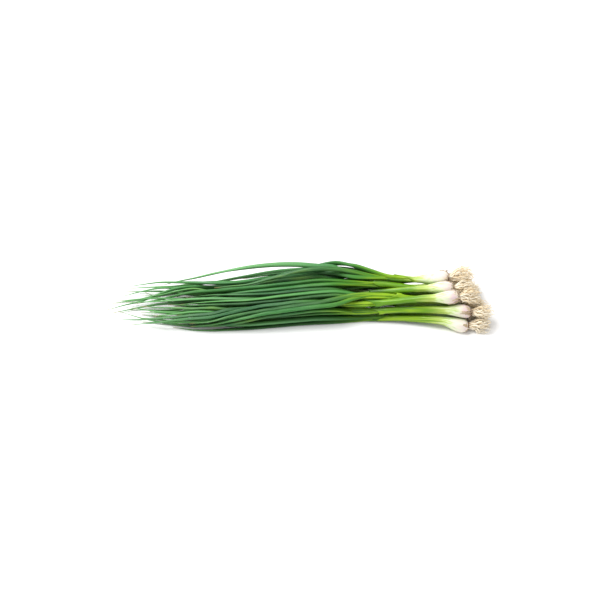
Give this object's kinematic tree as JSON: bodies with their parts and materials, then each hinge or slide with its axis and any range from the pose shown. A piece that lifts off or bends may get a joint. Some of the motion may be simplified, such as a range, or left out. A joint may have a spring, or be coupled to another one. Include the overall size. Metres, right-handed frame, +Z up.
{
  "type": "spring onion bunch",
  "caption": "Loose bunch of spring onions lying on its side, with curly roots, pale bulbs and stalks and long tapering hollow green leaves.",
  "frame": {"origin": "middle of the underside of the whole bunch, on the surface it lies on", "axes": "+X towards the roots and -X towards the leaf tips, +Z up, -Y towards the viewer of the picture"},
  "size_m": [0.4374, 0.0892, 0.0408],
  "materials": {
    "roots": "dry matted cream roots",
    "stalk": "smooth moist skin, white at the bulb and lime green higher up",
    "leaf": "waxy green leaf with a faint bluish bloom"
  },
  "bodies": {
    "root": {"plant_01_roots": "roots", "plant_01_stalk": "stalk", "plant_01_leaves": "leaf", "plant_02_roots": "roots", "plant_02_stalk": "stalk", "plant_02_leaves": "leaf", "plant_03_roots": "roots", "plant_03_stalk": "stalk", "plant_03_leaves": "leaf", "plant_04_roots": "roots", "plant_04_stalk": "stalk", "plant_04_leaves": "leaf", "plant_05_roots": "roots", "plant_05_stalk": "stalk", "plant_05_leaves": "leaf", "plant_06_roots": "roots", "plant_06_stalk": "stalk", "plant_06_leaves": "leaf", "plant_07_roots": "roots", "plant_07_stalk": "stalk", "plant_07_leaves": "leaf", "plant_08_roots": "roots", "plant_08_stalk": "stalk", "plant_08_leaves": "leaf", "plant_09_roots": "roots", "plant_09_stalk": "stalk", "plant_09_leaves": "leaf", "plant_10_roots": "roots", "plant_10_stalk": "stalk", "plant_10_leaves": "leaf", "plant_11_roots": "roots", "plant_11_stalk": "stalk", "plant_11_leaves": "leaf", "plant_12_roots": "roots", "plant_12_stalk": "stalk", "plant_12_leaves": "leaf"}
  },
  "joints": []
}
